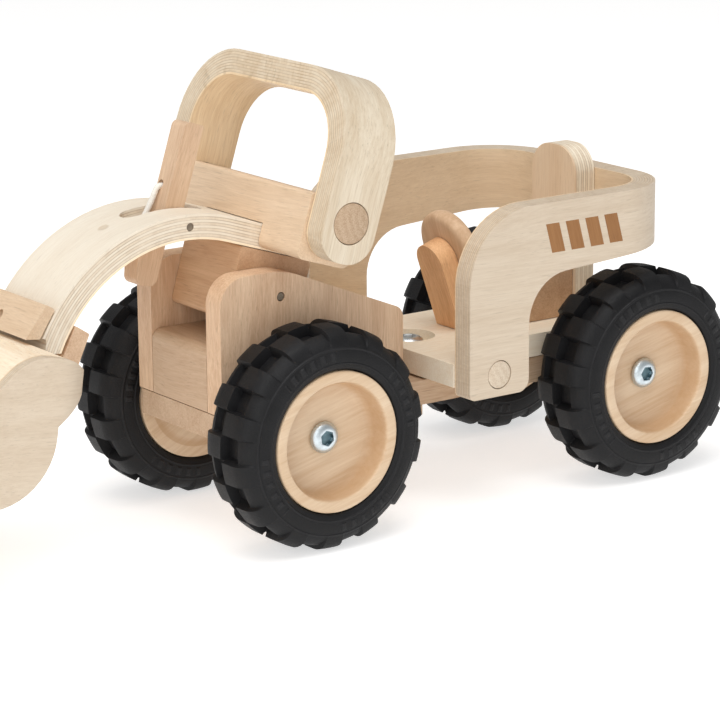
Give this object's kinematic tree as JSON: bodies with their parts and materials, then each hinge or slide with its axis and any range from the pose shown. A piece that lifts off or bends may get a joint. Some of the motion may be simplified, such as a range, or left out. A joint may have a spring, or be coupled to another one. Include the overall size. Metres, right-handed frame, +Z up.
{
  "type": "toy wheel loader",
  "caption": "Wooden toy loader: hinged two-part frame, rubber-tyred wheels, lifting arm with a handle bar, lever-tipped front bucket, seat and steering wheel.",
  "frame": {"origin": "on the ground, at the middle of the toy's length and width, in the pose it rests in", "axes": "+X forwards towards the bucket, +Y to the driver's left, +Z up"},
  "size_m": [0.381, 0.124, 0.1769],
  "materials": {
    "rear_deck_finish": "smooth clear-sealed wood",
    "rear_axle_block_finish": "smooth clear-sealed wood",
    "rear_axle_keeper_finish": "smooth clear-sealed wood",
    "fender_finish": "smooth clear-sealed wood",
    "left_fender_screw_finish": "zinc plated, satin",
    "right_fender_screw_finish": "zinc plated, satin",
    "left_fender_plug_finish": "smooth clear-sealed wood",
    "right_fender_plug_finish": "smooth clear-sealed wood",
    "swivel_washer_finish": "zinc plated, satin",
    "swivel_bolt_finish": "zinc plated, satin",
    "swivel_nut_finish": "zinc plated, satin",
    "seat_back_finish": "smooth clear-sealed wood",
    "seat_base_finish": "smooth clear-sealed wood",
    "steering_console_finish": "smooth clear-sealed wood",
    "steering_peg_finish": "smooth clear-sealed wood",
    "rear_axle_rod_finish": "zinc plated, satin",
    "rear_left_spacer_finish": "zinc plated, satin",
    "rear_right_spacer_finish": "zinc plated, satin",
    "rear_left_bolt_finish": "zinc plated, satin",
    "rear_right_bolt_finish": "zinc plated, satin",
    "front_base_plate_finish": "smooth clear-sealed wood",
    "front_axle_keeper_finish": "smooth clear-sealed wood",
    "left_cheek_finish": "smooth clear-sealed wood",
    "right_cheek_finish": "smooth clear-sealed wood",
    "centre_block_finish": "smooth clear-sealed wood",
    "arm_pivot_pin_finish": "zinc plated, satin",
    "front_axle_rod_finish": "zinc plated, satin",
    "front_left_spacer_finish": "zinc plated, satin",
    "front_right_spacer_finish": "zinc plated, satin",
    "front_left_bolt_finish": "zinc plated, satin",
    "front_right_bolt_finish": "zinc plated, satin",
    "front_left_tyre_finish": "matt moulded rubber",
    "front_left_hub_finish": "smooth clear-sealed wood",
    "front_right_tyre_finish": "matt moulded rubber",
    "front_right_hub_finish": "smooth clear-sealed wood",
    "rear_left_tyre_finish": "matt moulded rubber",
    "rear_left_hub_finish": "smooth clear-sealed wood",
    "rear_right_tyre_finish": "matt moulded rubber",
    "rear_right_hub_finish": "smooth clear-sealed wood",
    "steering_wheel_finish": "smooth clear-sealed wood",
    "boom_finish": "smooth clear-sealed wood",
    "carrier_block_finish": "smooth clear-sealed wood",
    "cross_block_finish": "smooth clear-sealed wood",
    "roll_bar_finish": "smooth clear-sealed wood",
    "left_bar_dowel_finish": "smooth clear-sealed wood",
    "right_bar_dowel_finish": "smooth clear-sealed wood",
    "boom_front_block_finish": "smooth clear-sealed wood",
    "boom_rear_block_finish": "smooth clear-sealed wood",
    "lever_pin_finish": "zinc plated, satin",
    "bucket_pin_finish": "zinc plated, satin",
    "boom_cord_finish": "twisted cotton",
    "lever_stick_finish": "smooth clear-sealed wood",
    "lever_cord_finish": "twisted cotton",
    "bucket_frame_finish": "smooth clear-sealed wood",
    "bucket_sheet_finish": "smooth clear-sealed wood",
    "bucket_lug_finish": "smooth clear-sealed wood"
  },
  "bodies": {
    "rear_chassis": {"rear_deck": "rear_deck_finish", "rear_axle_block": "rear_axle_block_finish", "rear_axle_keeper": "rear_axle_keeper_finish", "fender": "fender_finish", "left_fender_screw": "left_fender_screw_finish", "right_fender_screw": "right_fender_screw_finish", "left_fender_plug": "left_fender_plug_finish", "right_fender_plug": "right_fender_plug_finish", "swivel_washer": "swivel_washer_finish", "swivel_bolt": "swivel_bolt_finish", "swivel_nut": "swivel_nut_finish", "seat_back": "seat_back_finish", "seat_base": "seat_base_finish", "steering_console": "steering_console_finish", "steering_peg": "steering_peg_finish", "rear_axle_rod": "rear_axle_rod_finish", "rear_left_spacer": "rear_left_spacer_finish", "rear_right_spacer": "rear_right_spacer_finish", "rear_left_bolt": "rear_left_bolt_finish", "rear_right_bolt": "rear_right_bolt_finish"},
    "front_chassis": {"front_base_plate": "front_base_plate_finish", "front_axle_keeper": "front_axle_keeper_finish", "left_cheek": "left_cheek_finish", "right_cheek": "right_cheek_finish", "centre_block": "centre_block_finish", "arm_pivot_pin": "arm_pivot_pin_finish", "front_axle_rod": "front_axle_rod_finish", "front_left_spacer": "front_left_spacer_finish", "front_right_spacer": "front_right_spacer_finish", "front_left_bolt": "front_left_bolt_finish", "front_right_bolt": "front_right_bolt_finish"},
    "front_left_wheel": {"front_left_tyre": "front_left_tyre_finish", "front_left_hub": "front_left_hub_finish"},
    "front_right_wheel": {"front_right_tyre": "front_right_tyre_finish", "front_right_hub": "front_right_hub_finish"},
    "rear_left_wheel": {"rear_left_tyre": "rear_left_tyre_finish", "rear_left_hub": "rear_left_hub_finish"},
    "rear_right_wheel": {"rear_right_tyre": "rear_right_tyre_finish", "rear_right_hub": "rear_right_hub_finish"},
    "steering": {"steering_wheel": "steering_wheel_finish"},
    "loader_arm": {"boom": "boom_finish", "carrier_block": "carrier_block_finish", "cross_block": "cross_block_finish", "roll_bar": "roll_bar_finish", "left_bar_dowel": "left_bar_dowel_finish", "right_bar_dowel": "right_bar_dowel_finish", "boom_front_block": "boom_front_block_finish", "boom_rear_block": "boom_rear_block_finish", "lever_pin": "lever_pin_finish", "bucket_pin": "bucket_pin_finish", "boom_cord": "boom_cord_finish"},
    "lever": {"lever_stick": "lever_stick_finish", "lever_cord": "lever_cord_finish"},
    "bucket": {"bucket_frame": "bucket_frame_finish", "bucket_sheet": "bucket_sheet_finish", "bucket_lug": "bucket_lug_finish"}
  },
  "joints": [
    {"name": "frame_swivel", "type": "hinge", "parent": "rear_chassis", "child": "front_chassis", "pos_m": [-0.06997, 0, 0.0494], "axis": [0, 0, 1], "range_deg": [-15, 15]},
    {"name": "arm_lift", "type": "hinge", "parent": "front_chassis", "child": "loader_arm", "pos_m": [0.01068, 0, 0.0921], "axis": [0, 1, 0], "range_deg": [-12, 15.5]},
    {"name": "lever_swing", "type": "hinge", "parent": "loader_arm", "child": "lever", "pos_m": [0.04365, 0, 0.12121], "axis": [0, 1, 0], "range_deg": [0, 18]},
    {"name": "bucket_tip", "type": "hinge", "parent": "loader_arm", "child": "bucket", "pos_m": [0.09904, 0, 0.07339], "axis": [0, 1, 0], "range_deg": [0, 36]},
    {"name": "steering_turn", "type": "hinge", "parent": "rear_chassis", "child": "steering", "pos_m": [-0.08725, 0, 0.09165], "axis": [-0.9455, 0, 0.3256], "continuous": true},
    {"name": "front_left_wheel_spin", "type": "hinge", "parent": "front_chassis", "child": "front_left_wheel", "pos_m": [0.00803, 0.047, 0.0425], "axis": [0, 1, 0], "continuous": true},
    {"name": "front_right_wheel_spin", "type": "hinge", "parent": "front_chassis", "child": "front_right_wheel", "pos_m": [0.00803, -0.047, 0.0425], "axis": [0, 1, 0], "continuous": true},
    {"name": "rear_left_wheel_spin", "type": "hinge", "parent": "rear_chassis", "child": "rear_left_wheel", "pos_m": [-0.14797, 0.047, 0.0425], "axis": [0, 1, 0], "continuous": true},
    {"name": "rear_right_wheel_spin", "type": "hinge", "parent": "rear_chassis", "child": "rear_right_wheel", "pos_m": [-0.14797, -0.047, 0.0425], "axis": [0, 1, 0], "continuous": true}
  ],
  "couplings": [
    {"joint": "bucket_tip", "follows": "lever_swing", "ratio": 2}
  ]
}
